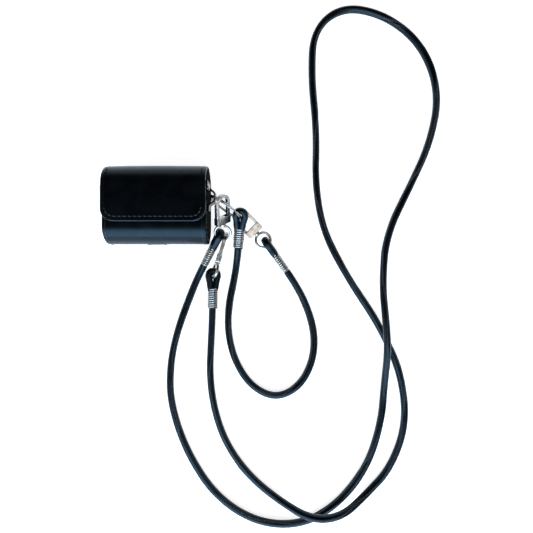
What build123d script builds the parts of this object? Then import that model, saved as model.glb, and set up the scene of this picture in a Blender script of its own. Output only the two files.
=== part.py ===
from build123d import *

import math
import os

os.makedirs("parts", exist_ok=True)

# Frame: millimetres, +Z up. The cover lies on its back: the origin is the centre of its back face,
# +X runs towards the split ring, +Y towards the folded top edge.

# ---- cover ----
HALF_LENGTH = 31.5          # half of the cover's length along X
HALF_HEIGHT = 24.5          # from the centre to the top and bottom edges, along Y
THICKNESS = 26.0            # over the closed flap
LEATHER = 1.2
SUEDE = 0.5
FLAP_LEATHER = 1.3
FLAP_SUEDE = 0.5
FLAP_GAP = 0.3              # between the closed flap and the front pocket
TOP_RADIUS = THICKNESS / 2
TOP_CENTRE = HALF_HEIGHT - TOP_RADIUS
FRONT_Z = THICKNESS - FLAP_LEATHER - FLAP_SUEDE - FLAP_GAP
BOTTOM_RADIUS = FRONT_Z / 2
BOTTOM_CENTRE = -HALF_HEIGHT + BOTTOM_RADIUS
MOUTH_Y = 13.0              # top edge of the front pocket
THUMB_RADIUS = 9.0
FLAP_EDGE_Y = -10.9         # lower edge of the flap
FLAP_CORNER = 7.5
HINGE_GAP = 0.25
FIT = 0.1                   # clearance between two layers that lie on each other
PORT_SIZE = (11.5, 5.6)
PORT_CENTRE = (-1.0, 12.0)
MAGNET_RADIUS = 4.0
MAGNET_THICKNESS = 0.8
MAGNET_Y = -4.0

# ---- stitching ----
STITCH = (2.2, 0.55, 0.25)  # length, width, height of one stitch
STITCH_PITCH = 3.1
STITCH_INSET = 2.4

# ---- split ring and its keeper ----
RING_OUTER = 12.25
RING_INNER = 10.45
RING_COIL = 0.82            # thickness of one of its two coils
RING_GROOVE = 0.16
RING_CENTRE = (42.5, -1.3, 12.6)
RING_RUN = Vector(0.818, -0.575, 0).normalized()
RING_LEAN = 6.0             # degrees from upright
KEEPER_LEATHER = 0.9
KEEPER_WIDTH = 7.5
KEEPER_REACH = 3.7          # how far the keeper stands off the gusset round the ring

# ---- swivel clasps ----
HOOK_LENGTH = 19.6
HOOK_WIDTH = 11.2
HOOK_BAND = 2.0
HOOK_THICKNESS = 2.4
BLOCK_LENGTH = 5.0
BLOCK_THICKNESS = 3.4
ARCH_Y = HOOK_LENGTH - HOOK_WIDTH / 2
NOSE = 1.3
GATE_WIDTH = 1.9
GATE_THICKNESS = 1.9
GATE_SLOT = 2.1
GATE_PIN = (3.9, 2.6)
GATE_PIN_RADIUS = 0.5
GATE_CLEARANCE = 0.05
EYE_RADIUS = 4.9            # to the middle of its wire
EYE_WIRE = 0.9
EYE_COLLAR = (1.9, 1.4)     # radius, length
STEM_RADIUS = 1.0
STEM_DEPTH = 2.8
EYE_CENTRE_Y = -(EYE_COLLAR[1] + EYE_RADIUS)

# ---- straps ----
CORD = 4.6                  # diameter of the round leather
LOOP_WIDTH = 9.4
LOOP_LENGTH = 13.0
LOOP_THICKNESS = 4.4
LOOP_NECK = 6.2
LOOP_HOLE = (3.6, 6.5)
LOOP_HOLE_Y = 6.6
CRIMP = (3.6, 2.85)         # half axes of the coil's oval section
CRIMP_BORE = (2.75, 2.05)
CRIMP_LENGTH = 14.0
CORD_LEAD = 9.0             # straight stretch of cord out of a crimp
UP = Vector(0, 0, 1)


def save(part, name):
    """Label one finished sub-part and write it as its own STEP file."""
    part.label = name
    export_step(part, f"parts/{name}.step")


def frame_along(origin, towards, roll):
    """A plane whose local +Y points along towards; roll turns it about that line, in degrees."""
    long_axis = Vector(*towards).normalized()
    across = long_axis.cross(UP).normalized()
    normal = across.cross(long_axis)
    turn = math.radians(roll)
    x_dir = across * math.cos(turn) - normal * math.sin(turn)
    z_dir = normal * math.cos(turn) + across * math.sin(turn)
    return Plane(origin=origin, x_dir=x_dir, z_dir=z_dir)


def point_on(frame, x, y, z=0.0):
    """The row-frame point at local x, y, z of a plane."""
    return frame.origin + frame.x_dir * x + frame.y_dir * y + frame.z_dir * z

# ---------------------------------------------------------------- cover


def outline(inset):
    """Sketch of the pocket's side profile in the YZ plane, shrunk by inset on every side."""
    back_radius = TOP_RADIUS - inset
    front_radius = FRONT_Z - TOP_RADIUS - inset
    with BuildSketch(Plane.YZ) as profile:
        with BuildLine():
            Line((BOTTOM_CENTRE, inset), (TOP_CENTRE, inset))
            CenterArc((TOP_CENTRE, TOP_RADIUS), back_radius, 270, 90)
            Line((TOP_CENTRE + back_radius, TOP_RADIUS), (TOP_CENTRE + front_radius, TOP_RADIUS))
            CenterArc((TOP_CENTRE, TOP_RADIUS), front_radius, 0, 90)
            Line((TOP_CENTRE, FRONT_Z - inset), (BOTTOM_CENTRE, FRONT_Z - inset))
            CenterArc((BOTTOM_CENTRE, BOTTOM_RADIUS), BOTTOM_RADIUS - inset, 90, 180)
        make_face()
    return profile.sketch


def cut_mouth():
    """Open the running part at the top edge, in front of the back panel, with a thumb notch."""
    with BuildSketch(Plane.YZ) as mouth:
        with Locations((MOUTH_Y, TOP_RADIUS - HINGE_GAP)):
            Rectangle(2 * HALF_HEIGHT, THICKNESS, align=(Align.MIN, Align.MIN))
    extrude(mouth.sketch, amount=2 * HALF_LENGTH, both=True, mode=Mode.SUBTRACT)
    with BuildSketch(Plane.XY.offset(TOP_RADIUS)) as thumb_notch:
        with Locations((0, MOUTH_Y)):
            Circle(THUMB_RADIUS)
    extrude(thumb_notch.sketch, amount=THICKNESS, mode=Mode.SUBTRACT)


def cut_port():
    """Open the charging-port slot through the bottom edge."""
    with BuildSketch(Plane.XZ.offset(-BOTTOM_CENTRE + BOTTOM_RADIUS / 2)) as port:
        with Locations(PORT_CENTRE):
            SlotOverall(*PORT_SIZE)
    extrude(port.sketch, amount=BOTTOM_RADIUS, mode=Mode.SUBTRACT)


def magnet_seat(low_z, depth):
    """Blind round recess for one closure magnet."""
    with BuildSketch(Plane.XY.offset(low_z)) as seat:
        with Locations((0, MAGNET_Y)):
            Circle(MAGNET_RADIUS + FIT / 2)
    extrude(seat.sketch, amount=depth, mode=Mode.SUBTRACT)


def magnet(low_z, name):
    """One closure magnet."""
    with BuildPart() as disc:
        with BuildSketch(Plane.XY.offset(low_z)):
            with Locations((0, MAGNET_Y)):
                Circle(MAGNET_RADIUS)
        extrude(amount=MAGNET_THICKNESS)
    save(disc.part, name)


WRAP_HALF = HALF_LENGTH - LEATHER
LINING_HALF = WRAP_HALF - FIT
LINING_INSET = LEATHER + FIT
SEAT_DEPTH = MAGNET_THICKNESS + FIT

with BuildPart() as body_wrap:
    extrude(outline(0), amount=WRAP_HALF, both=True)
    extrude(outline(LEATHER), amount=WRAP_HALF, both=True, mode=Mode.SUBTRACT)
    cut_mouth()
    cut_port()
    magnet_seat(FRONT_Z - LEATHER, SEAT_DEPTH)
save(body_wrap.part, "body_wrap")

for side, name in ((-1, "gusset_left"), (1, "gusset_right")):
    with BuildPart() as gusset:
        extrude(outline(0), amount=side * HALF_LENGTH)
        extrude(outline(0), amount=side * WRAP_HALF, mode=Mode.SUBTRACT)
    save(gusset.part, name)

with BuildPart() as pocket_lining:
    extrude(outline(LINING_INSET), amount=LINING_HALF, both=True)
    extrude(outline(LINING_INSET + SUEDE), amount=LINING_HALF - SUEDE, both=True, mode=Mode.SUBTRACT)
    cut_mouth()
    cut_port()
save(pocket_lining.part, "pocket_lining")

magnet(FRONT_Z - LEATHER + FIT / 2, "pocket_magnet")


def flap_layer(inset, wall, edge_y, half_width, corner):
    """One layer of the flap: a quarter round over the top edge and a flat front with round corners."""
    radius = TOP_RADIUS - inset
    with BuildSketch(Plane.YZ) as layer:
        with Locations((TOP_CENTRE, TOP_RADIUS)):
            Circle(radius)
            Circle(radius - wall, mode=Mode.SUBTRACT)
            Rectangle(2 * TOP_RADIUS, TOP_RADIUS, align=(Align.CENTER, Align.MAX), mode=Mode.SUBTRACT)
            Rectangle(TOP_RADIUS, TOP_RADIUS, align=(Align.MAX, Align.MIN), mode=Mode.SUBTRACT)
        with Locations((TOP_CENTRE, THICKNESS - inset)):
            Rectangle(TOP_CENTRE - edge_y, wall, align=(Align.MAX, Align.MAX))
    extrude(layer.sketch, amount=half_width, both=True)
    with BuildSketch(Plane.XY.offset(TOP_RADIUS)) as corners:
        with Locations((0, edge_y)):
            Rectangle(2 * half_width, 2 * corner, align=(Align.CENTER, Align.CENTER))
        with Locations((0, edge_y + corner)):
            SlotOverall(2 * half_width, 2 * corner, mode=Mode.SUBTRACT)
    extrude(corners.sketch, amount=THICKNESS, mode=Mode.SUBTRACT)


with BuildPart() as flap:
    flap_layer(0, FLAP_LEATHER, FLAP_EDGE_Y, HALF_LENGTH, FLAP_CORNER)
    magnet_seat(THICKNESS - FLAP_LEATHER, SEAT_DEPTH)
save(flap.part, "flap")

with BuildPart() as flap_lining:
    flap_layer(FLAP_LEATHER, FLAP_SUEDE, FLAP_EDGE_Y + 0.6, HALF_LENGTH - 0.6, FLAP_CORNER)
save(flap_lining.part, "flap_lining")

magnet(THICKNESS - FLAP_LEATHER + FIT / 2, "flap_magnet")

# ---------------------------------------------------------------- stitching


def stitch_places(path):
    """Planes of the stitches, evenly spaced along a line that lies in a face."""
    count = round(path.length / STITCH_PITCH)
    return [(path @ ((i + 0.5) / count), path % ((i + 0.5) / count)) for i in range(count)]


def stitch_row(path, outward, name):
    """A row of separate stitches lying on a face whose outward normal is given."""
    with BuildPart() as row:
        for centre, run in stitch_places(path):
            with BuildSketch(Plane(origin=centre, x_dir=run, z_dir=outward)):
                SlotOverall(STITCH[0], STITCH[1])
        extrude(amount=STITCH[2])
    save(row.part, name)


with BuildLine(Plane.XY.offset(THICKNESS)) as flap_path:
    row_x = HALF_LENGTH - STITCH_INSET
    row_y = FLAP_EDGE_Y + STITCH_INSET
    row_corner = FLAP_CORNER - STITCH_INSET
    Line((-row_x, TOP_CENTRE), (-row_x, row_y + row_corner))
    CenterArc((-row_x + row_corner, row_y + row_corner), row_corner, 180, 90)
    Line((-row_x + row_corner, row_y), (row_x - row_corner, row_y))
    CenterArc((row_x - row_corner, row_y + row_corner), row_corner, 270, 90)
    Line((row_x, row_y + row_corner), (row_x, TOP_CENTRE))
stitch_row(flap_path.wires()[0], (0, 0, 1), "flap_stitching")

for side, name in ((-1, "seam_stitching_left"), (1, "seam_stitching_right")):
    with BuildLine(Plane.YZ.offset(side * HALF_LENGTH)) as seam_path:
        seam_radius = BOTTOM_RADIUS - STITCH_INSET
        Line((TOP_CENTRE, STITCH_INSET), (BOTTOM_CENTRE, STITCH_INSET))
        CenterArc((BOTTOM_CENTRE, BOTTOM_RADIUS), seam_radius, 270, -180)
        Line((BOTTOM_CENTRE, FRONT_Z - STITCH_INSET), (BOTTOM_CENTRE + 15.0, FRONT_Z - STITCH_INSET))
    stitch_row(seam_path.wires()[0], (side, 0, 0), name)

# ---------------------------------------------------------------- ring keeper and rivet

KEEPER_Z = RING_CENTRE[2]
KEEPER_NEAR = -0.4
KEEPER_FAR = 11.2
KEEPER_INNER = HALF_LENGTH + KEEPER_REACH
RIVET_Y = 9.9
RIVET_Z = 20.8
RIVET_RADIUS = 1.9

with BuildPart() as side_keeper:
    with BuildSketch(Plane.XY.offset(KEEPER_Z - KEEPER_WIDTH / 2)):
        with BuildLine():
            Polyline(
                (HALF_LENGTH, KEEPER_NEAR - 3.0),
                (HALF_LENGTH + KEEPER_LEATHER, KEEPER_NEAR - 3.0),
                (HALF_LENGTH + KEEPER_LEATHER, KEEPER_NEAR),
                (KEEPER_INNER + KEEPER_LEATHER, KEEPER_NEAR + 2.8),
                (KEEPER_INNER + KEEPER_LEATHER, KEEPER_FAR - 3.2),
                (HALF_LENGTH + KEEPER_LEATHER, KEEPER_FAR),
                (HALF_LENGTH + KEEPER_LEATHER, KEEPER_FAR + 3.0),
                (HALF_LENGTH, KEEPER_FAR + 3.0),
                (HALF_LENGTH, KEEPER_FAR - 0.5),
                (KEEPER_INNER, KEEPER_FAR - 3.7),
                (KEEPER_INNER, KEEPER_NEAR + 3.3),
                (HALF_LENGTH, KEEPER_NEAR + 0.5),
                close=True,
            )
        make_face()
    extrude(amount=KEEPER_WIDTH)
    with BuildSketch(Plane.YZ.offset(HALF_LENGTH)):
        with Locations((KEEPER_FAR + 0.7, KEEPER_Z)):
            Rectangle(4.6, RIVET_Z - KEEPER_Z + 2.0, align=(Align.CENTER, Align.MIN))
    extrude(amount=KEEPER_LEATHER)
save(side_keeper.part, "side_keeper")

with BuildPart() as keeper_rivet:
    with BuildSketch(Plane.YZ.offset(HALF_LENGTH + KEEPER_LEATHER)):
        with Locations((RIVET_Y, RIVET_Z)):
            Circle(RIVET_RADIUS)
    extrude(amount=0.8, taper=25)
save(keeper_rivet.part, "keeper_rivet")

# ---------------------------------------------------------------- split ring

lean = math.radians(RING_LEAN)
ring_side = Vector(-RING_RUN.Y, RING_RUN.X, 0)
ring_up = UP * math.cos(lean) + ring_side * math.sin(lean)
ring_frame = Plane(origin=RING_CENTRE, x_dir=RING_RUN, z_dir=RING_RUN.cross(ring_up))

with BuildPart() as split_ring:
    for sign in (-1, 1):
        with BuildSketch(ring_frame.offset(sign * RING_GROOVE / 2)):
            Circle(RING_OUTER)
            Circle(RING_INNER, mode=Mode.SUBTRACT)
        extrude(amount=sign * RING_COIL)
    with BuildSketch(ring_frame.offset(-RING_GROOVE / 2)):
        Circle(RING_OUTER - 0.25)
        Circle(RING_INNER + 0.25, mode=Mode.SUBTRACT)
    extrude(amount=RING_GROOVE)
save(split_ring.part, "split_ring")



def ring_point(angle):
    """Middle of the ring's wire, angle degrees round from the end of the ring away from the cover."""
    middle = (RING_OUTER + RING_INNER) / 2
    turn = math.radians(angle)
    return point_on(ring_frame, middle * math.cos(turn), middle * math.sin(turn))


# ---------------------------------------------------------------- swivel clasps


def make_hook(frame, name):
    """Hook body: a block with the gate's slot and the stem's hole, one solid limb and the arch."""
    inner = HOOK_WIDTH / 2 - HOOK_BAND
    with BuildPart() as hook:
        with BuildSketch(frame.offset(-HOOK_THICKNESS / 2)):
            with Locations((0, ARCH_Y)):
                Circle(HOOK_WIDTH / 2)
                Circle(inner, mode=Mode.SUBTRACT)
                Rectangle(HOOK_WIDTH, HOOK_WIDTH, align=(Align.CENTER, Align.MAX), mode=Mode.SUBTRACT)
            with Locations((-inner, BLOCK_LENGTH / 2)):
                Rectangle(HOOK_BAND, ARCH_Y - BLOCK_LENGTH / 2, align=(Align.MAX, Align.MIN))
            with Locations((inner, ARCH_Y - NOSE)):
                Rectangle(HOOK_BAND, NOSE, align=(Align.MIN, Align.MIN))
        extrude(amount=HOOK_THICKNESS)
        with BuildSketch(frame.offset(-BLOCK_THICKNESS / 2)) as block:
            with Locations((0, BLOCK_LENGTH / 2)):
                RectangleRounded(HOOK_WIDTH, BLOCK_LENGTH, 0.6)
        extrude(amount=BLOCK_THICKNESS)
        with BuildSketch(frame.offset(-GATE_SLOT / 2)):
            with Locations((1.3, 1.3)):
                Rectangle(HOOK_WIDTH, BLOCK_LENGTH, align=(Align.MIN, Align.MIN))
            with Locations((inner, BLOCK_LENGTH)):
                Rectangle(HOOK_BAND, ARCH_Y - NOSE - BLOCK_LENGTH, align=(Align.MIN, Align.MIN),
                          mode=Mode.SUBTRACT)
        extrude(amount=GATE_SLOT, mode=Mode.SUBTRACT)
        with BuildSketch(frame.offset(-BLOCK_THICKNESS)):
            with Locations(GATE_PIN):
                Circle(GATE_PIN_RADIUS)
        extrude(amount=2 * BLOCK_THICKNESS, mode=Mode.SUBTRACT)
        with BuildSketch(Plane(origin=frame.origin, x_dir=frame.x_dir, z_dir=frame.y_dir)):
            Circle(STEM_RADIUS + GATE_CLEARANCE)
        extrude(amount=STEM_DEPTH + 0.1, mode=Mode.SUBTRACT)
    save(hook.part, name)


def make_gate(frame, name):
    """Gate: a bar that turns inwards about the pin in the block."""
    top = ARCH_Y - NOSE - 0.12
    edge = HOOK_WIDTH / 2 - 0.05
    with BuildPart() as gate:
        with BuildSketch(frame.offset(-GATE_THICKNESS / 2)):
            with Locations(GATE_PIN):
                Circle(1.15)
            with Locations((edge, GATE_PIN[1])):
                Rectangle(GATE_WIDTH, top - GATE_PIN[1], align=(Align.MAX, Align.MIN))
        extrude(amount=GATE_THICKNESS)
        with BuildSketch(frame.offset(-GATE_THICKNESS)):
            with Locations(GATE_PIN):
                Circle(GATE_PIN_RADIUS + GATE_CLEARANCE)
        extrude(amount=2 * GATE_THICKNESS, mode=Mode.SUBTRACT)
    save(gate.part, name)


def make_gate_pin(frame, name):
    """Pin pressed through both cheeks of the block."""
    with BuildPart() as pin:
        with BuildSketch(frame.offset(-BLOCK_THICKNESS / 2)):
            with Locations(GATE_PIN):
                Circle(GATE_PIN_RADIUS)
        extrude(amount=BLOCK_THICKNESS)
    save(pin.part, name)


def make_gate_spring(frame, name):
    """Leaf spring that stands against the slot's inner wall behind the gate."""
    with BuildPart() as spring:
        with BuildSketch(frame.offset(-0.8)):
            with BuildLine():
                Polyline((1.3, 1.6), (1.5, 1.6), (1.65, 3.2), (1.95, 4.7), (1.75, 4.75), (1.3, 3.0), close=True)
            make_face()
        extrude(amount=1.6)
    save(spring.part, name)


def make_eye(frame, name):
    """Swivel eye: a stem in the block, a collar outside it and a round wire eye."""
    stem_frame = Plane(origin=point_on(frame, 0, -0.1), x_dir=frame.x_dir, z_dir=-frame.y_dir)
    with BuildPart(Plane(origin=point_on(frame, 0, EYE_CENTRE_Y), x_dir=frame.x_dir, z_dir=frame.z_dir)) as eye:
        Torus(EYE_RADIUS, EYE_WIRE)
        with BuildSketch(stem_frame):
            Circle(EYE_COLLAR[0])
        extrude(amount=EYE_COLLAR[1])
        with BuildSketch(stem_frame.offset(-STEM_DEPTH)):
            Circle(STEM_RADIUS)
        extrude(amount=STEM_DEPTH + 0.3)
    save(eye.part, name)


def eye_point(frame, angle):
    """Middle of an eye's wire, angle degrees round from local +X."""
    turn = math.radians(angle)
    return point_on(frame, EYE_RADIUS * math.cos(turn), EYE_CENTRE_Y + EYE_RADIUS * math.sin(turn))


def make_clasp(clasp, wire, wire_at, towards, roll, eye_roll):
    """All pieces of one clasp. The wire it hangs on passes its hook at local wire_at."""
    aim = frame_along(wire, towards, roll)
    origin = point_on(aim, -wire_at[0], -wire_at[1])
    hook_frame = frame_along(origin, towards, roll)
    eye_frame = frame_along(origin, towards, eye_roll)
    make_hook(hook_frame, f"{clasp}_hook")
    make_gate(hook_frame, f"{clasp}_gate")
    make_gate_pin(hook_frame, f"{clasp}_gate_pin")
    make_gate_spring(hook_frame, f"{clasp}_gate_spring")
    make_eye(eye_frame, f"{clasp}_eye")
    pin = point_on(hook_frame, *GATE_PIN)
    print(clasp, "stem", [round(v, 3) for v in origin], "axis", [round(v, 5) for v in hook_frame.y_dir])
    print(clasp, "gate pin", [round(v, 3) for v in pin], "axis", [round(v, 5) for v in hook_frame.z_dir])
    return eye_frame


# Clasp 1 hangs on the ring's top, clasp 2 lies beside it, clasp 3 hangs on clasp 1's eye.
eye_1 = make_clasp("clasp_1", ring_point(100), (0, ARCH_Y + 1.0), (0.05, 0.83, 0.555), 52, 3)
eye_2 = make_clasp("clasp_2", ring_point(-22), (-1.4, ARCH_Y + 0.2), (-0.67, 0.68, 0.15), 0, 6)
eye_3 = make_clasp("clasp_3", eye_point(eye_1, 284), (0, ARCH_Y + 0.8), (0.3, 0.93, 0.13), 97, 112)

# ---------------------------------------------------------------- strap ends


def make_loop(frame, name):
    """Folded end of a round cord: an eye with a nearly closed hole, and its shank in the crimp."""
    crown = LOOP_LENGTH - LOOP_WIDTH / 2
    neck = LOOP_NECK / 2
    with BuildPart() as loop:
        with BuildSketch(frame.offset(-LOOP_THICKNESS / 2)):
            with BuildLine():
                Polyline((-LOOP_WIDTH / 2, crown), (-LOOP_WIDTH / 2, 5.0), (-neck, 0), (neck, 0),
                         (LOOP_WIDTH / 2, 5.0), (LOOP_WIDTH / 2, crown))
                CenterArc((0, crown), LOOP_WIDTH / 2, 0, 180)
            make_face()
        extrude(amount=LOOP_THICKNESS)
        chamfer(loop.edges().filter_by(GeomType.LINE, reverse=True), 1.0)
        with BuildSketch(frame.offset(-LOOP_THICKNESS)):
            with Locations((0, LOOP_HOLE_Y)):
                SlotOverall(LOOP_HOLE[1], LOOP_HOLE[0], rotation=90)
        extrude(amount=2 * LOOP_THICKNESS, mode=Mode.SUBTRACT)
        with BuildSketch(Plane(origin=frame.origin, x_dir=frame.x_dir, z_dir=-frame.y_dir)):
            Ellipse(*CRIMP_BORE)
        extrude(amount=CRIMP_LENGTH)
    save(loop.part, name)


def make_crimp(frame, name):
    """Wire coil squeezed round both strands, as a sleeve of the coil's oval section."""
    with BuildPart() as crimp:
        with BuildSketch(Plane(origin=frame.origin, x_dir=frame.x_dir, z_dir=-frame.y_dir)):
            Ellipse(*CRIMP)
            Ellipse(*CRIMP_BORE, mode=Mode.SUBTRACT)
        extrude(amount=CRIMP_LENGTH)
    save(crimp.part, name)


def make_strap_end(end, wire, towards, roll):
    """Loop and crimp of one cord end, with the wire that it hangs on in its hole."""
    hole_frame = frame_along(wire, towards, roll)
    crimp_frame = Plane(origin=point_on(hole_frame, 0, -LOOP_HOLE_Y), x_dir=hole_frame.x_dir,
                        z_dir=hole_frame.z_dir)
    make_loop(crimp_frame, f"{end}_loop")
    make_crimp(crimp_frame, f"{end}_crimp")
    start = tuple(point_on(crimp_frame, 0, -CRIMP_LENGTH))
    lead = tuple(point_on(crimp_frame, 0, -CRIMP_LENGTH - CORD_LEAD))
    print(end, "cord leaves at", [round(v, 2) for v in start], "then", [round(v, 2) for v in lead])
    return start, lead


end_a = make_strap_end("lanyard_end_a", eye_point(eye_1, 230), (0.48, 0.86, 0.245), 108)
end_b = make_strap_end("lanyard_end_b", eye_point(eye_3, 270), (0.03, 1.0, 0.06), 14)
end_c = make_strap_end("wrist_end_c", ring_point(9), (0.1, 0.93, 0.36), 0)
end_d = make_strap_end("wrist_end_d", eye_point(eye_2, 270) + UP * 0.45, (-0.577, 0.817, 0.02), 84)

# ---------------------------------------------------------------- cords


def cord_radii(points):
    """Arc radii at the inner points: 0.45 of the shorter run over the tangent of half the turn."""
    radii = []
    for before, here, after in zip(points, points[1:], points[2:]):
        run_in = Vector(*here) - Vector(*before)
        run_out = Vector(*after) - Vector(*here)
        half_turn = math.radians(run_in.get_angle(run_out)) / 2
        radii.append(0.45 * min(run_in.length, run_out.length) / math.tan(half_turn))
    return radii


def make_cord(points, name):
    """Round cord along straight runs joined by tangent arcs."""
    radii = cord_radii(points)
    print(name, "radii", [round(r) for r in radii])
    with BuildPart() as cord:
        with BuildLine() as route:
            FilletPolyline(*points, radius=radii)
        path = route.wires()[0]
        with BuildSketch(Plane(origin=path @ 0, z_dir=path % 0)):
            Circle(CORD / 2)
        sweep(path=path)
    area = math.pi * CORD**2 / 4
    print(name, "length", round(path.length), "volume ratio", round(cord.part.volume / area / path.length, 4))
    save(cord.part, name)


FLOOR = 2.35                # height of a cord's centre where it lies on the table
OVER = 11.7                 # height of its centre where it crosses over itself

LANYARD = [
    (17.3, -59.0, FLOOR), (10.0, -79.0, FLOOR), (4.8, -102.0, FLOOR), (4.8, -128.0, FLOOR),
    (15.5, -160.0, FLOOR), (35.0, -190.0, FLOOR), (62.0, -207.0, FLOOR), (91.0, -208.5, FLOOR),
    (115.0, -195.0, FLOOR), (134.0, -171.0, FLOOR), (143.5, -142.0, FLOOR), (145.8, -115.0, FLOOR),
    (145.2, -92.5, OVER), (144.2, -74.5, OVER), (144.4, -50.0, FLOOR), (147.0, -18.0, FLOOR),
    (162.0, 13.0, FLOOR), (176.0, 43.0, FLOOR), (182.0, 76.0, FLOOR), (171.0, 107.0, FLOOR),
    (147.0, 127.0, FLOOR), (118.0, 133.0, FLOOR), (99.0, 117.0, FLOOR), (97.5, 86.0, FLOOR),
    (101.2, 50.0, FLOOR), (100.2, 15.0, FLOOR), (106.0, -17.0, FLOOR), (123.0, -48.0, FLOOR),
    (143.0, -78.0, FLOOR), (156.5, -108.0, FLOOR), (160.5, -141.0, FLOOR), (150.0, -171.0, FLOOR),
    (133.0, -189.0, FLOOR), (116.5, -197.0, OVER), (98.0, -199.5, OVER), (78.0, -193.5, FLOOR),
    (57.5, -177.0, FLOOR), (42.0, -156.0, FLOOR), (33.8, -133.0, FLOOR), (30.8, -110.0, FLOOR),
    (31.6, -90.5, FLOOR),
]
WRIST = [
    (47.2, -45.5, FLOOR), (43.0, -64.0, FLOOR), (43.0, -84.0, FLOOR), (48.0, -102.0, FLOOR),
    (58.5, -117.5, FLOOR), (74.0, -125.0, FLOOR), (89.5, -118.0, FLOOR), (98.5, -102.0, FLOOR),
    (100.3, -83.5, FLOOR), (95.0, -64.5, FLOOR),
]
make_cord([*end_a, *LANYARD, *reversed(end_b)], "lanyard_cord")
make_cord([*end_c, *WRIST, *reversed(end_d)], "wrist_cord")
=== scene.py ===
import math

import bmesh
import bpy
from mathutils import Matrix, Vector


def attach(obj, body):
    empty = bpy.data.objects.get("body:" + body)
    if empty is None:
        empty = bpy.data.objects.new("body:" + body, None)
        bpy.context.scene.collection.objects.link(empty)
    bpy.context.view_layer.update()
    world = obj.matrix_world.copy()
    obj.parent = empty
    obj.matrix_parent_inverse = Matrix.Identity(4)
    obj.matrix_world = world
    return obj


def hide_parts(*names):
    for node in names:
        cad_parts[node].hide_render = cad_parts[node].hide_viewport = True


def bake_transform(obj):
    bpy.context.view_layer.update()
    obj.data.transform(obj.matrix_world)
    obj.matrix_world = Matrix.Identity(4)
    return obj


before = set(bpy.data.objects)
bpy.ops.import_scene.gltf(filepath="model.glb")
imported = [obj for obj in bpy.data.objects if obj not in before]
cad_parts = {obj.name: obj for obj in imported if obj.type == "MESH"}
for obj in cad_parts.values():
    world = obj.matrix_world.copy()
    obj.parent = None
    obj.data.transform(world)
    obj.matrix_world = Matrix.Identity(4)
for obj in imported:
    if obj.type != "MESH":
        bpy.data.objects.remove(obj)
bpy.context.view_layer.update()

MM = 0.001
UP = Vector((0, 0, 1))


def mm(x, y, z):
    """A point of the shared frame, from millimetres."""
    return Vector((x * MM, y * MM, z * MM))


# ---------------------------------------------------------------- camera

CAMERA_AT = mm(68.2, -38.4, 260.0)
CAMERA_ANGLE = math.radians(68.5)

camera_data = bpy.data.cameras.new("camera")
camera_data.angle = CAMERA_ANGLE
camera_data.clip_start = 0.01
camera = bpy.data.objects.new("camera", camera_data)
camera.location = CAMERA_AT
bpy.context.scene.collection.objects.link(camera)
bpy.context.scene.camera = camera

# ---------------------------------------------------------------- materials


def new_material(name, colour, roughness, metallic=0.0, coat=0.0, sheen=0.0, specular=0.5):
    """A principled material and its node tree's useful ends."""
    mat = bpy.data.materials.new(name)
    mat.use_nodes = True
    tree = mat.node_tree
    shader = tree.nodes["Principled BSDF"]
    shader.inputs["Base Color"].default_value = (*colour, 1)
    shader.inputs["Roughness"].default_value = roughness
    shader.inputs["Metallic"].default_value = metallic
    shader.inputs["Coat Weight"].default_value = coat
    shader.inputs["Coat Roughness"].default_value = 0.2
    shader.inputs["Sheen Weight"].default_value = sheen
    shader.inputs["Specular IOR Level"].default_value = specular
    place = tree.nodes.new("ShaderNodeTexCoord")
    return mat, tree, shader, place.outputs["Object"]


def noise(tree, place, scale, detail=4.0, distortion=0.0):
    node = tree.nodes.new("ShaderNodeTexNoise")
    node.inputs["Scale"].default_value = scale
    node.inputs["Detail"].default_value = detail
    node.inputs["Distortion"].default_value = distortion
    tree.links.new(place, node.inputs["Vector"])
    return node.outputs["Fac"]


def cells(tree, place, scale):
    node = tree.nodes.new("ShaderNodeTexVoronoi")
    node.inputs["Scale"].default_value = scale
    tree.links.new(place, node.inputs["Vector"])
    return node.outputs["Distance"]


def stretch(tree, value, low, high, from_low=0.0, from_high=1.0):
    """Map a texture's value to a range."""
    node = tree.nodes.new("ShaderNodeMapRange")
    node.inputs["From Min"].default_value = from_low
    node.inputs["From Max"].default_value = from_high
    node.inputs["To Min"].default_value = low
    node.inputs["To Max"].default_value = high
    tree.links.new(value, node.inputs["Value"])
    return node.outputs["Result"]


def tint(tree, value, dark, light, low=0.35, high=0.65):
    """Colour ramp between two colours."""
    node = tree.nodes.new("ShaderNodeValToRGB")
    node.color_ramp.elements[0].position = low
    node.color_ramp.elements[0].color = (*dark, 1)
    node.color_ramp.elements[1].position = high
    node.color_ramp.elements[1].color = (*light, 1)
    tree.links.new(value, node.inputs["Fac"])
    return node.outputs["Color"]


def bump(tree, shader, heights):
    """Chain of bumps, each (height, distance in metres, strength)."""
    normal = None
    for height, distance, strength in heights:
        node = tree.nodes.new("ShaderNodeBump")
        node.inputs["Distance"].default_value = distance
        node.inputs["Strength"].default_value = strength
        tree.links.new(height, node.inputs["Height"])
        if normal is not None:
            tree.links.new(normal, node.inputs["Normal"])
        normal = node.outputs["Normal"]
    tree.links.new(normal, shader.inputs["Normal"])


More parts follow.
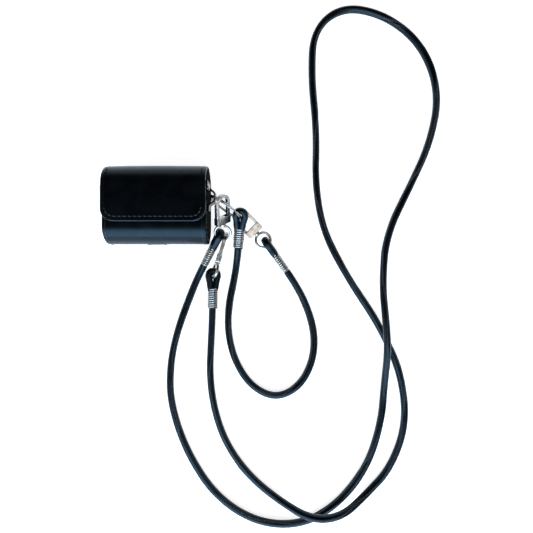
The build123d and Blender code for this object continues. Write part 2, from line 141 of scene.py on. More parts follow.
def leather(name, dark, light, low_rough, high_rough, grain, depth, coat=0.0, specular=0.45,
            index=1.5):
    """Fine-grained leather: pebbled cells, pores and a slow mottle in its gloss."""
    mat, tree, shader, place = new_material(name, dark, low_rough, coat=coat, specular=specular)
    shader.inputs["IOR"].default_value = index
    # painted light: the blue specular tint colours every reflection on the leather with the blue of
    # the window light
    shader.inputs["Specular Tint"].default_value = (0.56, 0.80, 1.0, 1)
    mottle = noise(tree, place, 90.0, detail=5.0, distortion=0.6)
    fine = noise(tree, place, 1400.0, detail=3.0)
    pebble = cells(tree, place, grain)
    tree.links.new(tint(tree, mottle, dark, light), shader.inputs["Base Color"])
    gloss = stretch(tree, mottle, low_rough, high_rough, 0.3, 0.7)
    tree.links.new(gloss, shader.inputs["Roughness"])
    bump(tree, shader, [(pebble, depth, 0.5), (fine, depth * 0.7, 0.35), (mottle, 0.00015, 0.2)])
    return mat


def metal(name, dark, light, low_rough, high_rough):
    """Plated metal: slow tint, uneven gloss and fine handling marks."""
    mat, tree, shader, place = new_material(name, light, low_rough, metallic=1.0)
    cloud = noise(tree, place, 260.0, detail=4.0, distortion=0.8)
    marks = noise(tree, place, 3200.0, detail=2.0, distortion=2.0)
    tree.links.new(tint(tree, cloud, dark, light, 0.3, 0.6), shader.inputs["Base Color"])
    gloss = stretch(tree, marks, low_rough, high_rough, 0.3, 0.7)
    tree.links.new(gloss, shader.inputs["Roughness"])
    bump(tree, shader, [(cloud, 0.00008, 0.3), (marks, 0.00001, 0.25)])
    return mat


def thread(name, dark, light, sheen=0.1, specular=0.3):
    """Waxed twisted thread."""
    mat, tree, shader, place = new_material(name, light, 0.6, sheen=sheen, specular=specular)
    twist = tree.nodes.new("ShaderNodeTexWave")
    twist.bands_direction = "DIAGONAL"
    twist.inputs["Scale"].default_value = 900.0
    twist.inputs["Distortion"].default_value = 1.5
    tree.links.new(place, twist.inputs["Vector"])
    strands = twist.outputs["Fac"]
    tree.links.new(tint(tree, strands, dark, light, 0.2, 0.8), shader.inputs["Base Color"])
    bump(tree, shader, [(strands, 0.00006, 0.6)])
    return mat


def suede(name, dark, light):
    """Short-napped lining."""
    mat, tree, shader, place = new_material(name, dark, 0.95, sheen=0.5, specular=0.15)
    nap = noise(tree, place, 2200.0, detail=6.0, distortion=0.4)
    brushed = noise(tree, place, 60.0, detail=3.0, distortion=1.2)
    tree.links.new(tint(tree, brushed, dark, light), shader.inputs["Base Color"])
    bump(tree, shader, [(nap, 0.00012, 0.7)])
    return mat


COVER_LEATHER = leather("cover_leather", (0.0008, 0.0008, 0.0009), (0.0018, 0.0018, 0.002),
                        0.26, 0.36, 2300.0, 0.00004, specular=0.28)
END_LEATHER = leather("end_leather", (0.0010, 0.0010, 0.0011), (0.0024, 0.0024, 0.0026),
                      0.6, 0.75, 2000.0, 0.00007, specular=0.05, index=1.12)
RAW_EDGE = leather("raw_edge", (0.06, 0.06, 0.063), (0.13, 0.13, 0.137),
                   0.45, 0.65, 1500.0, 0.00005)
EDGE_PAINT = leather("edge_paint", (0.006, 0.007, 0.008), (0.014, 0.015, 0.018),
                     0.16, 0.26, 1200.0, 0.00002, coat=0.8)
CORD_LEATHER = leather("cord_leather", (0.0010, 0.0010, 0.0012), (0.003, 0.003, 0.0034),
                       0.20, 0.34, 1700.0, 0.00005, specular=0.32)
SUEDE = suede("suede_lining", (0.012, 0.012, 0.0125), (0.026, 0.026, 0.027))
# one black thread in two copies: the lighter one carries painted light, the darker one painted
# shade
PAINTED_LIGHT_THREAD = thread("painted_light_thread", (0.008, 0.008, 0.009), (0.05, 0.052, 0.058))
PAINTED_SHADE_THREAD = thread("painted_shade_thread", (0.001, 0.001, 0.0011), (0.005, 0.005, 0.0055),
                      sheen=0.0, specular=0.06)
CORD_THREAD = thread("cord_thread", (0.010, 0.010, 0.011), (0.09, 0.09, 0.10), sheen=0.2)
NICKEL = metal("nickel_plate", (0.32, 0.30, 0.275), (0.55, 0.52, 0.48), 0.14, 0.30)
COIL_WIRE = metal("coil_wire", (0.36, 0.34, 0.32), (0.60, 0.56, 0.52), 0.16, 0.32)
SPRING = metal("spring_steel", (0.34, 0.34, 0.35), (0.55, 0.55, 0.56), 0.25, 0.4)
MAGNET = metal("magnet_plate", (0.45, 0.45, 0.46), (0.65, 0.65, 0.66), 0.2, 0.35)

# ---------------------------------------------------------------- mesh helpers


def link(name, mesh, mat):
    mesh.materials.clear()
    mesh.materials.append(mat)
    obj = bpy.data.objects.new(name, mesh)
    bpy.context.scene.collection.objects.link(obj)
    return obj


def make_mesh(name, verts, faces, mat, smooth=True):
    mesh = bpy.data.meshes.new(name)
    mesh.from_pydata([tuple(v) for v in verts], [], faces)
    mesh.validate()
    bm = bmesh.new()
    bm.from_mesh(mesh)
    bmesh.ops.recalc_face_normals(bm, faces=bm.faces)
    bm.to_mesh(mesh)
    bm.free()
    for poly in mesh.polygons:
        poly.use_smooth = smooth
    return link(name, mesh, mat)


def baked(obj):
    """The object's mesh with its modifiers applied."""
    depsgraph = bpy.context.evaluated_depsgraph_get()
    done = bpy.data.meshes.new_from_object(obj.evaluated_get(depsgraph))
    obj.modifiers.clear()
    obj.data = done
    return obj


def sweep(points, ring, sides, closed=False, normal=UP):
    """Verts and faces of a tube along points. ring(i, share) gives sides offsets (across, up)."""
    verts, faces = [], []
    count = len(points)
    up = normal.copy()
    for i, here in enumerate(points):
        if closed:
            run = points[(i + 1) % count] - points[i - 1]
        else:
            run = points[min(i + 1, count - 1)] - points[max(i - 1, 0)]
        run.normalize()
        across = run.cross(up)
        across.normalize()
        up = across.cross(run)
        for a, b in ring(i, i / max(count - 1, 1)):
            verts.append(here + across * a + up * b)
    spans = count if closed else count - 1
    for i in range(spans):
        for k in range(sides):
            a = i * sides + k
            b = i * sides + (k + 1) % sides
            c = ((i + 1) % count) * sides
            faces.append((a, b, c + (k + 1) % sides, c + k))
    if not closed:
        faces.append(tuple(range(sides))[::-1])
        faces.append(tuple((count - 1) * sides + k for k in range(sides)))
    return verts, faces


def oval(half_a, half_b, sides):
    """Offsets round an oval section."""
    return [(half_a * math.cos(2 * math.pi * k / sides), half_b * math.sin(2 * math.pi * k / sides))
            for k in range(sides)]


def resample(points, step):
    """Evenly spaced points along a polyline, both ends kept."""
    lengths = [0.0]
    for a, b in zip(points, points[1:]):
        lengths.append(lengths[-1] + (b - a).length)
    count = max(int(round(lengths[-1] / step)), 1)
    out, j = [], 0
    for i in range(count + 1):
        want = lengths[-1] * i / count
        while j < len(lengths) - 2 and lengths[j + 1] < want:
            j += 1
        span = lengths[j + 1] - lengths[j]
        share = 0 if span == 0 else (want - lengths[j]) / span
        out.append(points[j].lerp(points[j + 1], share))
    return out


def softened(name, nodes, mat, voxel, rounds, keep=1.0):
    """Copies of CAD solids fused into one skin whose edges are rounded."""
    bm = bmesh.new()
    for node in nodes:
        bm.from_mesh(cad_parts[node].data)
    mesh = bpy.data.meshes.new(name)
    bm.to_mesh(mesh)
    bm.free()
    obj = link(name, mesh, mat)
    fuse = obj.modifiers.new("fuse", "REMESH")
    fuse.mode = "VOXEL"
    fuse.voxel_size = voxel
    ease = obj.modifiers.new("ease", "SMOOTH")
    ease.factor = 0.5
    ease.iterations = rounds
    if keep < 1.0:
        thin = obj.modifiers.new("thin", "DECIMATE")
        thin.ratio = keep
    baked(obj)
    obj.data.materials.clear()
    obj.data.materials.append(mat)
    for poly in obj.data.polygons:
        poly.use_smooth = True
    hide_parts(*nodes)
    return obj


def frame_along(towards, roll):
    """Axes x, y, z whose y points along towards; roll turns them about it, in degrees."""
    y = Vector(towards).normalized()
    across = y.cross(UP).normalized()
    normal = across.cross(y)
    turn = math.radians(roll)
    x = across * math.cos(turn) - normal * math.sin(turn)
    z = normal * math.cos(turn) + across * math.sin(turn)
    return x, y, z


# ---------------------------------------------------------------- cords

CORD = 4.6 * MM
# height of a cord's middle on the table, and of the points that lift it over another strand
FLOOR = 2.35
OVER = 11.7

LANYARD = [
    (27.42, -37.37, 4.97), (23.16, -45.0, 2.8),
    (17.3, -59.0, FLOOR), (10.0, -79.0, FLOOR), (4.8, -102.0, FLOOR), (4.8, -128.0, FLOOR),
    (15.5, -160.0, FLOOR), (35.0, -190.0, FLOOR), (62.0, -207.0, FLOOR), (91.0, -208.5, FLOOR),
    (115.0, -195.0, FLOOR), (134.0, -171.0, FLOOR), (143.5, -142.0, FLOOR), (145.8, -115.0, FLOOR),
    (145.2, -92.5, OVER), (144.2, -74.5, OVER), (144.4, -50.0, FLOOR), (147.0, -18.0, FLOOR),
    (162.0, 13.0, FLOOR), (176.0, 43.0, FLOOR), (182.0, 76.0, FLOOR), (171.0, 107.0, FLOOR),
    (147.0, 127.0, FLOOR), (118.0, 133.0, FLOOR), (99.0, 117.0, FLOOR), (97.5, 86.0, FLOOR),
    (101.2, 50.0, FLOOR), (100.2, 15.0, FLOOR), (106.0, -17.0, FLOOR), (123.0, -48.0, FLOOR),
    (143.0, -78.0, FLOOR), (156.5, -108.0, FLOOR), (160.5, -141.0, FLOOR), (150.0, -171.0, FLOOR),
    (133.0, -189.0, FLOOR), (116.5, -197.0, OVER), (98.0, -199.5, OVER), (78.0, -193.5, FLOOR),
    (57.5, -177.0, FLOOR), (42.0, -156.0, FLOOR), (33.8, -133.0, FLOOR), (30.8, -110.0, FLOOR),
    (31.6, -90.5, FLOOR),
    (32.64, -74.94, 4.0), (32.91, -65.96, 4.54),
]
WRIST = [
    (49.72, -26.71, 6.97), (48.82, -35.06, 3.73),
    (47.2, -45.5, FLOOR), (43.0, -64.0, FLOOR), (43.0, -84.0, FLOOR), (48.0, -102.0, FLOOR),
    (58.5, -117.5, FLOOR), (74.0, -125.0, FLOOR), (89.5, -118.0, FLOOR), (98.5, -102.0, FLOOR),
    (100.3, -83.5, FLOOR), (95.0, -64.5, FLOOR),
    (86.53, -48.78, 4.29), (81.34, -41.43, 4.47),
]


def make_cord(name, points):
    """The cord as a bevelled NURBS curve, and evenly spaced points of its centreline."""
    data = bpy.data.curves.new(name, "CURVE")
    data.dimensions = "3D"
    data.resolution_u = 16
    spline = data.splines.new("NURBS")
    spline.points.add(len(points) - 1)
    for point, place in zip(spline.points, points):
        point.co = (*mm(*place), 1)
    spline.order_u = 3
    spline.use_endpoint_u = True
    obj = bpy.data.objects.new(name, data)
    bpy.context.scene.collection.objects.link(obj)
    bpy.context.view_layer.update()
    line = bpy.data.meshes.new_from_object(obj)
    centre = [v.co.copy() for v in line.vertices]
    bpy.data.meshes.remove(line)
    data.bevel_depth = CORD / 2
    data.bevel_resolution = 6
    data.use_fill_caps = True
    data.materials.append(CORD_LEATHER)
    return obj, centre


def sway(s, seed):
    """Slow wandering angle of a seam round its cord, in radians, at s metres along it."""
    return (0.9 * math.sin(s * 31.0 + seed) + 0.55 * math.sin(s * 73.0 + 2.1 * seed)
            + 0.2 * math.sin(s * 190.0 + 0.7 * seed))


def cord_frames(centre, step):
    """Point, run, across and up at even steps along a cord."""
    points = resample(centre, step)
    frames = []
    for i, here in enumerate(points):
        run = (points[min(i + 1, len(points) - 1)] - points[max(i - 1, 0)]).normalized()
        across = run.cross(UP).normalized()
        frames.append((here, run, across, across.cross(run)))
    return frames


SEAM_PITCH = 1.25 * MM
LIP_STEP = 1.6 * MM
# one seam stitch from end to end: place along it, half width and height, in millimetres
SEAM_STITCH = ((-0.85, 0.10, 0.05), (-0.5, 0.22, 0.26), (0.5, 0.22, 0.26), (0.85, 0.10, 0.05))


def cord_seam(name, centre, angle, seed):
    """Diagonal stitches along the wandering seam of a cord."""
    verts, faces = [], []
    frames = cord_frames(centre, SEAM_PITCH)
    for i, (here, run, across, up) in enumerate(frames[2:-2]):
        turn = angle + sway(i * SEAM_PITCH, seed)
        out = across * math.cos(turn) + up * math.sin(turn)
        side = run.cross(out)
        along = (run * 0.80 + side * 0.60).normalized()
        wide = along.cross(out)
        base = here + out * (CORD / 2 - 0.12 * MM)
        first = len(verts)
        for share, width, height in SEAM_STITCH:
            middle = base + along * (share * MM)
            crown = ((-width, 0.0), (-width * 0.6, height), (width * 0.6, height), (width, 0.0))
            for a, b in crown:
                verts.append(middle + wide * (a * MM) + out * (b * MM))
        for r in range(3):
            for k in range(3):
                a = first + r * 4 + k
                faces.append((a, a + 1, a + 5, a + 4))
            a = first + r * 4
            faces.append((a + 3, a, a + 4, a + 7))
        faces.append((first + 3, first + 2, first + 1, first))
        faces.append((first + 12, first + 13, first + 14, first + 15))
    return make_mesh(name, verts, faces, CORD_THREAD)


def cord_lip(name, centre, angle, seed):
    """The overlapping edge of the leather that wraps a cord's core."""
    points = []
    for i, (here, run, across, up) in enumerate(cord_frames(centre, LIP_STEP)):
        turn = angle + sway(i * LIP_STEP, seed) + 0.42
        out = across * math.cos(turn) + up * math.sin(turn)
        points.append(here + out * (CORD / 2 - 0.18 * MM))
    verts, faces = sweep(points, lambda i, s: oval(0.42 * MM, 0.3 * MM, 6), 6)
    return make_mesh(name, verts, faces, CORD_LEATHER)


lanyard, lanyard_line = make_cord("lanyard", LANYARD)
wrist, wrist_line = make_cord("wrist_strap", WRIST)
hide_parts("lanyard_cord")
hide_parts("wrist_cord")
lanyard_seam = cord_seam("lanyard_seam", lanyard_line, 1.9, 0.4)
lanyard_lip = cord_lip("lanyard_lip", lanyard_line, 1.9, 0.4)
wrist_seam = cord_seam("wrist_seam", wrist_line, 2.3, 2.2)
wrist_lip = cord_lip("wrist_lip", wrist_line, 2.3, 2.2)
for piece in (lanyard, wrist, lanyard_seam, lanyard_lip, wrist_seam, wrist_lip):
    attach(piece, "cover")


# ---------------------------------------------------------------- strap ends

# the coil's length and its two half widths
CRIMP_LENGTH = 14.0
CRIMP = (3.6, 2.85)
# for each end: where the cord goes into the coil, the way to the eye, and the roll in degrees
ENDS = {
    "lanyard_end_a": ((27.42, -37.37, 4.97), (0.48, 0.86, 0.245), 108),
    "lanyard_end_b": ((32.91, -65.96, 4.54), (0.03, 1.0, 0.06), 14),
    "wrist_end_c": ((49.72, -26.71, 6.97), (0.1, 0.93, 0.36), 0),
    "wrist_end_d": ((81.34, -41.43, 4.47), (-0.577, 0.817, 0.02), 84),
}


def squared(value, power):
    """A sine or cosine pushed outwards, for a section with fuller corners."""
    return math.copysign(abs(value) ** power, value)


def make_coil(name, origin, x, y, z):
    """Close-wound wire round both strands."""
    wire = 0.56
    pitch = 1.42
    turns = (CRIMP_LENGTH - 2 * wire) / pitch
    points = []
    count = int(turns * 28)
    for i in range(count + 1):
        share = i / count
        turn = 2 * math.pi * turns * share
        grow = 1.0 - 0.02 * math.sin(share * 9.0 + turn * 0.013)
        a = (CRIMP[0] - wire) * grow * math.cos(turn)
        b = (CRIMP[1] - wire) * grow * math.sin(turn)
        back = -wire - share * (CRIMP_LENGTH - 2 * wire)
        points.append(origin + (x * a + z * b + y * back) * MM)
    verts, faces = sweep(points, lambda i, s: oval(wire * 0.98 * MM, wire * MM, 8), 8, normal=y)
    return make_mesh(name, verts, faces, COIL_WIRE)


def make_strap_loop(name, origin, x, y, z):
    """The cord's end, flattened and bent round into an eye, and its strands' core in the coil."""
    half = 2.95
    top = 7.7
    strand = [(1.5, -2.0), (1.6, -0.5), (1.8, 1.2), (2.0, 2.8), (2.25, 4.4), (2.5, 5.7),
              (half, 7.2)]
    path = [(-a, b) for a, b in strand]
    for step in range(20):
        turn = math.pi * (1 - step / 19)
        path.append((half * math.cos(turn), top + (half + 0.1) * math.sin(turn)))
    path += [(a, b) for a, b in reversed(strand)]
    points = resample([origin + (x * a + y * b) * MM for a, b in path], 0.45 * MM)
    sides = 20

    def ring(i, share):
        pinch = 1.0 - 0.16 * abs(2 * share - 1) ** 6
        wide = 2.2 * pinch * (1.0 - 0.03 * math.sin(share * 40.0))
        tall = (2.5 + 0.06 * math.sin(share * 23.0)) * pinch
        out = []
        for k in range(sides):
            turn = 2 * math.pi * k / sides
            out.append((wide * squared(math.cos(turn), 0.85) * MM,
                        tall * squared(math.sin(turn), 0.85) * MM))
        return out

    verts, faces = sweep(points, ring, sides, normal=z)
    inside = [origin + y * (-(0.3 + (CRIMP_LENGTH - 0.6) * i / 12) * MM) for i in range(13)]
    more, skins = sweep(inside, lambda i, s: oval(2.75 * MM, 2.0 * MM, sides), sides, normal=z)
    faces += [tuple(k + len(verts) for k in skin) for skin in skins]
    return make_mesh(name, verts + more, faces, CORD_LEATHER)


for end, (leaves, towards, roll) in ENDS.items():
    x, y, z = frame_along(towards, roll)
    origin = mm(*leaves) + y * (CRIMP_LENGTH * MM)
    coil = make_coil(end + "_coil", origin, x, y, z)
    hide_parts(end + "_crimp")
    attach(coil, "cover")
    loop = make_strap_loop(end + "_eye", origin, x, y, z)
    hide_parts(end + "_loop")
    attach(loop, "cover")

# ---------------------------------------------------------------- split ring

RING_AT = mm(42.5, -1.3, 12.6)
RING_MIDDLE = 11.35
ring_run = Vector((0.818, -0.575, 0)).normalized()
ring_side = Vector((-ring_run.y, ring_run.x, 0))
lean = math.radians(6.0)
ring_up = UP * math.cos(lean) + ring_side * math.sin(lean)
ring_axis = ring_run.cross(ring_up)


def make_ring():
    """Two turns of flat spring wire that change lanes at one place."""
    points = []
    steps = 300
    start = math.radians(52)
    for i in range(steps + 1):
        turn = 4 * math.pi * i / steps * 0.985
        lane = min(max((turn - math.radians(338)) / math.radians(40), 0.0), 1.0)
        lane = lane * lane * (3 - 2 * lane)
        shift = (-0.46 + 0.92 * lane) * MM
        out = ring_run * math.cos(start + turn) + ring_up * math.sin(start + turn)
        points.append(RING_AT + out * (RING_MIDDLE * MM) + ring_axis * shift)
    sides = 12

    def section(i, share):
        thin = 0.40 if 3 < i < steps - 3 else 0.3
        out = []
        for a, b in oval(1.0, 1.0, sides):
            out.append((0.88 * MM * squared(a, 0.6), thin * MM * squared(b, 0.6)))
        return out

    verts, faces = sweep(points, section, sides, normal=ring_axis)
    return make_mesh("split_ring_coils", verts, faces, NICKEL)


ring = make_ring()
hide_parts("split_ring")
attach(ring, "ring")

# ---------------------------------------------------------------- clasps

for n in ("1", "2", "3"):
    hook = softened(f"clasp_{n}_body", [f"clasp_{n}_hook"], NICKEL, 0.16 * MM, 5, 0.5)
    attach(hook, "hook_" + n)
    gate = softened(f"clasp_{n}_gate_bar", [f"clasp_{n}_gate"], NICKEL, 0.12 * MM, 4, 0.5)
    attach(gate, "gate_" + n)
    eye = softened(f"clasp_{n}_swivel_eye", [f"clasp_{n}_eye"], NICKEL, 0.14 * MM, 4, 0.5)
    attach(eye, "cover")

# ---------------------------------------------------------------- cover

CASE_NODES = ["body_wrap", "gusset_left", "gusset_right"]
case = softened("case_shell", CASE_NODES, COVER_LEATHER, 0.42 * MM, 5, 0.4)
case.data.materials.append(END_LEATHER)
for poly in case.data.polygons:
    if abs(poly.normal.x) > 0.75:
        poly.material_index = 1
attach(case, "cover")
keeper = softened("ring_keeper", ["side_keeper"], COVER_LEATHER, 0.22 * MM, 4, 0.6)
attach(keeper, "cover")
rivet = softened("keeper_rivet_cap", ["keeper_rivet"], NICKEL, 0.12 * MM, 4)
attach(rivet, "cover")

# the cover, in millimetres: half its width, its depth and its rounded upper edge
HALF = 31.5
THICKNESS = 26.0
TOP_RADIUS = 13.0
TOP_CENTRE = 11.5
# the flap: its lower edge, flat stretch, corner radius, leather, and lap on the back
FLAP_EDGE = -10.9
FLAP_FLAT = TOP_CENTRE - FLAP_EDGE
FLAP_CORNER = 7.5
FLAP_WALL = 1.3
FLAP_LAP = 4.0
# how far up from the lower edge the painted edge and the stitching go
PAINT_TOP = 21.0
STITCH_TOP = 34.0


def flap_line(d):
    """(y, z, normal y, normal z) of the flap's outer face, d mm up from its lower edge."""
    if d <= FLAP_FLAT:
        return FLAP_EDGE + d, THICKNESS, 0.0, 1.0
    turn = (d - FLAP_FLAT) / TOP_RADIUS
    return (TOP_CENTRE + TOP_RADIUS * math.sin(turn), TOP_RADIUS + TOP_RADIUS * math.cos(turn),
            math.sin(turn), math.cos(turn))


def half_width(d):
    """Half of the flap's width, d mm from its lower edge, with its rounded corners."""
    if d >= FLAP_CORNER:
        return HALF
    return HALF - FLAP_CORNER + math.sqrt(max(FLAP_CORNER**2 - (FLAP_CORNER - d) ** 2, 0.0))


def flap_outline(inset, top, side_steps, bend_steps, low_steps):
    """Places (x, d) down the flap's left side from d = top, along its lower edge and up again."""
    straight = HALF - FLAP_CORNER
    radius = FLAP_CORNER - inset
    bend = [math.pi / 2 * i / (bend_steps - 1) for i in range(bend_steps)]
    fall = top - FLAP_CORNER
    path = [(inset - HALF, top - i * fall / side_steps) for i in range(side_steps)]
    path += [(-straight - radius * math.cos(t), FLAP_CORNER - radius * math.sin(t)) for t in bend]
    path += [(-straight + 2 * straight * i / low_steps, inset) for i in range(1, low_steps)]
    path += [(straight + radius * math.cos(t), FLAP_CORNER - radius * math.sin(t))
             for t in reversed(bend)]
    path += [(HALF - inset, FLAP_CORNER + i * fall / side_steps) for i in range(1, side_steps + 1)]
    return path


def make_flap():
    """The flap's leather: one skin over the top edge, running on into the back as a thin lap."""
    length = FLAP_FLAT + TOP_RADIUS * math.pi / 2
    rows = [FLAP_CORNER * (1 - math.cos(math.pi / 2 * i / 14)) for i in range(15)]
    rows += [FLAP_CORNER + (length - FLAP_CORNER) * i / 44 for i in range(1, 45)]
    rows += [length + FLAP_LAP * i / 6 for i in range(1, 7)]
    evenly = [2 * i / 48 - 1 for i in range(49)]
    columns = [math.sin(math.pi / 2 * c) * 0.35 + c * 0.65 for c in evenly]
    outer, inner = [], []
    for d in rows:
        y, z, ny, nz = flap_line(d)
        past = max(d - length, 0.0) / FLAP_LAP
        wall = FLAP_WALL * (1 - past) ** 2 + 0.02
        rise = 0.16 * past ** 0.5 if past > 0 else 0.0
        for c in columns:
            x = c * half_width(d)
            swell = 0.22 * (1 - abs(c) ** 2.2) * min(d / 9.0, 1.0) * (1 - past)
            sink = 0.45 * max(abs(c) - 0.955, 0.0) / 0.045 if past == 0 else 0.0
            lift = swell - sink * 0.55 + rise
            outer.append(mm(x, y + ny * lift, z + nz * lift))
            back = wall - rise * 0.5
            inner.append(mm(x, y - ny * back, z - nz * back))
    verts = outer + inner
    wide = len(columns)
    tall = len(rows)
    shift = len(outer)
    faces = []
    for r in range(tall - 1):
        for c in range(wide - 1):
            a = r * wide + c
            faces.append((a, a + 1, a + wide + 1, a + wide))
            faces.append((shift + a + wide, shift + a + wide + 1, shift + a + 1, shift + a))
    for c in range(wide - 1):
        faces.append((c + 1, c, shift + c, shift + c + 1))
        a = (tall - 1) * wide + c
        faces.append((a, a + 1, shift + a + 1, shift + a))
    for r in range(tall - 1):
        a = r * wide
        faces.append((a, a + wide, shift + a + wide, shift + a))
        b = a + wide - 1
        faces.append((b + wide, b, shift + b, shift + b + wide))
    flap = make_mesh("flap_skin", verts, faces, COVER_LEATHER)
    edge = flap.modifiers.new("edge", "BEVEL")
    edge.width = 0.42 * MM
    edge.segments = 4
    edge.limit_method = "ANGLE"
    edge.angle_limit = math.radians(50)
    return baked(flap)


def edge_paint():
    """Paint along the flap's cut edge, a rounded bead standing just proud of the leather."""
    points = []
    for x, d in flap_outline(0.0, PAINT_TOP, side_steps=40, bend_steps=25, low_steps=60):
        y, z, ny, nz = flap_line(d)
        points.append(mm(x, y - ny * 0.72, z - nz * 0.72))
    points = resample(points, 0.7 * MM)
    verts, faces = sweep(points, lambda i, s: oval(0.3 * MM, 0.5 * MM, 10), 10)
    return make_mesh("flap_edge_paint", verts, faces, EDGE_PAINT)


STITCH_INSET = 2.6
STITCH_PITCH = 3.1
STITCH_SUNK = 0.15 * MM
# one flap stitch from end to end: place along it, and its share of full width and height,
# where no height is an end that goes down into the leather
STITCH_SHAPE = ((-1.0, 0.35, 0.0), (-0.7, 0.85, 0.65), (-0.25, 1.0, 1.0), (0.25, 1.0, 1.0),
                (0.7, 0.85, 0.65), (1.0, 0.35, 0.0))


def stitch(verts, faces, at, along, out, long, wide, tall):
    """Add one raised stitch with pinched ends that go into the leather."""
    side = along.cross(out).normalized()
    first = len(verts)
    for share, width, height in STITCH_SHAPE:
        sunk = STITCH_SUNK if height == 0.0 else 0.0
        middle = at + along * (share * long / 2)
        for k in range(6):
            turn = math.pi * k / 5
            verts.append(middle + side * (math.cos(turn) * wide / 2 * width)
                         + out * (math.sin(turn) * tall * height - sunk))
    for r in range(5):
        for k in range(5):
            a = first + r * 6 + k
            faces.append((a, a + 1, a + 7, a + 6))
        a = first + r * 6
        faces.append((a + 5, a, a + 6, a + 11))
    faces.append(tuple(first + k for k in range(6))[::-1])
    faces.append(tuple(first + 30 + k for k in range(6)))


def flap_stitches():
    """The row round the flap, a little uneven in place and angle."""
    row = flap_outline(STITCH_INSET, STITCH_TOP, side_steps=30, bend_steps=20, low_steps=50)
    places = resample([Vector((x, d, 0)) for x, d in row], STITCH_PITCH)
    verts, faces = [], []
    for i in range(len(places) - 1):
        here = (places[i] + places[i + 1]) / 2
        go = (places[i + 1] - places[i]).normalized()
        y, z, ny, nz = flap_line(here.y)
        out = Vector((0, ny, nz))
        up_run = Vector((0, nz, -ny))
        along = (Vector((1, 0, 0)) * go.x + up_run * go.y).normalized()
        slant = along.cross(out) * (0.12 + 0.04 * math.sin(i * 2.3))
        at = mm(here.x, y, z) + out * (0.16 * MM)
        stitch(verts, faces, at, (along + slant).normalized(), out, 2.35 * MM, 0.62 * MM, 0.34 * MM)
    # the lower row and its corners get the lighter thread as painted light; the rows up the sides
    # and over the top get the darker copy as painted shade
    threads = make_mesh("flap_stitches", verts, faces, PAINTED_LIGHT_THREAD)
    threads.data.materials.append(PAINTED_SHADE_THREAD)
    for poly in threads.data.polygons:
        if poly.center.y > (FLAP_EDGE + FLAP_CORNER) * MM:
            poly.material_index = 1
    return threads


# the cover's rounded lower edge, and the middle of the charging port in it
BOTTOM_RADIUS = 11.95
BOTTOM_CENTRE = -12.55
PORT_X = -1.0
PORT_Z = 12.0


def front_line(first, last, count):
    """Points (y, z) round the cover's lower edge, between two angles in degrees from +Y."""
    turns = [math.radians(first + (last - first) * i / count) for i in range(count + 1)]
    return [(BOTTOM_CENTRE + BOTTOM_RADIUS * math.cos(t),
             BOTTOM_RADIUS + BOTTOM_RADIUS * math.sin(t)) for t in turns]


def make_welt(name, x, slope):
    """Turned seam between the wrap and an end piece: a fine ridge that follows the outline."""
    line = [(8.0 - i * (8.0 - BOTTOM_CENTRE) / 24, 2 * BOTTOM_RADIUS) for i in range(24)]
    line += front_line(90, 256, 60)
    points = []
    for i, (y, z) in enumerate(line):
        share = max(z / (2 * BOTTOM_RADIUS), 0.0)
        points.append(mm(x + slope * (1 - share) + 0.04 * math.sin(i * 0.9), y, z))
    points = resample(points, 0.8 * MM)
    verts, faces = sweep(points, lambda i, s: oval(0.34 * MM, 0.16 * MM, 8), 8,
                         normal=Vector((1, 0, 0)))
    return make_mesh(name, verts, faces, EDGE_PAINT)


def make_port_rim():
    """Raw edge of the leather round the charging-port slot, on the curved lower edge."""
    half, radius = 2.95, 2.8
    outline = []
    for i in range(12):
        outline.append((-half + 2 * half * i / 12, radius))
    for i in range(20):
        turn = math.radians(90 - 180 * i / 20)
        outline.append((half + radius * math.cos(turn), radius * math.sin(turn)))
    for i in range(12):
        outline.append((half - 2 * half * i / 12, -radius))
    for i in range(20):
        turn = math.radians(270 - 180 * i / 20)
        outline.append((-half + radius * math.cos(turn), radius * math.sin(turn)))
    points = []
    for x, up in outline:
        z = PORT_Z + up
        y = BOTTOM_CENTRE - math.sqrt(BOTTOM_RADIUS**2 - (z - BOTTOM_RADIUS) ** 2)
        points.append(mm(PORT_X + x, y + 0.1, z))
    verts, faces = sweep(points, lambda i, s: oval(0.5 * MM, 0.42 * MM, 8), 8,
                         closed=True, normal=Vector((0, 1, 0)))
    return make_mesh("charging_port_edge", verts, faces, RAW_EDGE)


for name, x, slope in (("seam_welt_left", -29.3, -0.2), ("seam_welt_right", 29.3, 0.2)):
    welt = make_welt(name, x, slope)
    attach(welt, "cover")
rim = make_port_rim()
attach(rim, "cover")
flap = make_flap()
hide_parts("flap")
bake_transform(flap)
paint = edge_paint()
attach(paint, "flap")
threads = flap_stitches()
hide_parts("flap_stitching")
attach(threads, "flap")

# ---------------------------------------------------------------- finishes of the CAD nodes

FINISHES = {
    "pocket_lining": SUEDE, "flap_lining": SUEDE, "pocket_magnet": MAGNET, "flap_magnet": MAGNET,
    # the seam stitching gets the lighter thread, the copy with painted light
    "seam_stitching_left": PAINTED_LIGHT_THREAD, "seam_stitching_right": PAINTED_LIGHT_THREAD,
    "clasp_1_gate_pin": NICKEL, "clasp_2_gate_pin": NICKEL, "clasp_3_gate_pin": NICKEL,
    "clasp_1_gate_spring": SPRING, "clasp_2_gate_spring": SPRING, "clasp_3_gate_spring": SPRING,
}
for node, mat in FINISHES.items():
    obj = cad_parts[node]
    for slot in obj.material_slots:
        slot.material = mat

# ---------------------------------------------------------------- floor and light

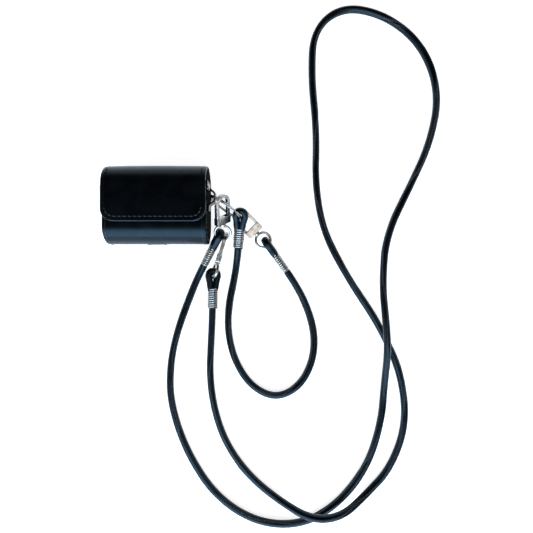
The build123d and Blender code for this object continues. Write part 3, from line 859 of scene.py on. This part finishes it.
floor_mat, floor_tree, floor_shader, floor_place = new_material(
    "floor", (0.86, 0.86, 0.86), 0.9, specular=0.1)
paper = noise(floor_tree, floor_place, 40.0, detail=3.0)
shade = tint(floor_tree, paper, (0.93, 0.93, 0.93), (0.96, 0.96, 0.96))
floor_tree.links.new(shade, floor_shader.inputs["Base Color"])
floor_shader.inputs["Emission Color"].default_value = (1, 1, 1, 1)
floor_shader.inputs["Emission Strength"].default_value = 0.80
floor = make_mesh("floor", [(-3, -3, -0.0002), (3, -3, -0.0002), (3, 3, -0.0002), (-3, 3, -0.0002)],
                  [(0, 1, 2, 3)], floor_mat, smooth=False)


def softbox(name, at, aim, size, power, colour):
    data = bpy.data.lights.new(name, "AREA")
    data.shape = "RECTANGLE"
    data.size, data.size_y = size
    data.energy = power
    data.color = colour
    obj = bpy.data.objects.new(name, data)
    obj.location = at
    obj.rotation_euler = (Vector(aim) - Vector(at)).to_track_quat("-Z", "Y").to_euler()
    bpy.context.scene.collection.objects.link(obj)


softbox("window", (-0.10, -0.95, 0.68), (0.0, -0.02, 0.0), (1.5, 1.05), 27.0, (0.52, 0.76, 1.0))
softbox("left", (-1.3, 0.0, 0.55), (0.05, 0.0, 0.0), (1.0, 0.3), 3.0, (0.80, 0.90, 1.0))
softbox("right", (1.4, 0.2, 0.7), (0.07, -0.04, 0.0), (1.0, 0.3), 1.5, (1.0, 0.95, 0.90))
softbox("back", (0.1, 1.5, 0.42), (0.07, -0.04, 0.0), (1.6, 0.16), 1.4, (1.0, 0.97, 0.94))
softbox("top", (0.36, -0.24, 1.15), (0.06, -0.03, 0.0), (0.42, 0.42), 1.1, (1.0, 0.97, 0.94))

bpy.context.scene.view_settings.view_transform = "Standard"
world = bpy.data.worlds.new("studio")
bpy.context.scene.world = world
world.use_nodes = True
sky = world.node_tree
direction = sky.nodes.new("ShaderNodeTexCoord")
split = sky.nodes.new("ShaderNodeSeparateXYZ")
sky.links.new(direction.outputs["Generated"], split.inputs["Vector"])
glow = sky.nodes.new("ShaderNodeValToRGB")
glow.color_ramp.elements[0].position = 0.08
glow.color_ramp.elements[0].color = (0.55, 0.55, 0.56, 1)
glow.color_ramp.elements[1].position = 0.55
glow.color_ramp.elements[1].color = (0.02, 0.02, 0.022, 1)
sky.links.new(split.outputs["Z"], glow.inputs["Fac"])
sky.links.new(glow.outputs["Color"], sky.nodes["Background"].inputs["Color"])
sky.nodes["Background"].inputs["Strength"].default_value = 1.0
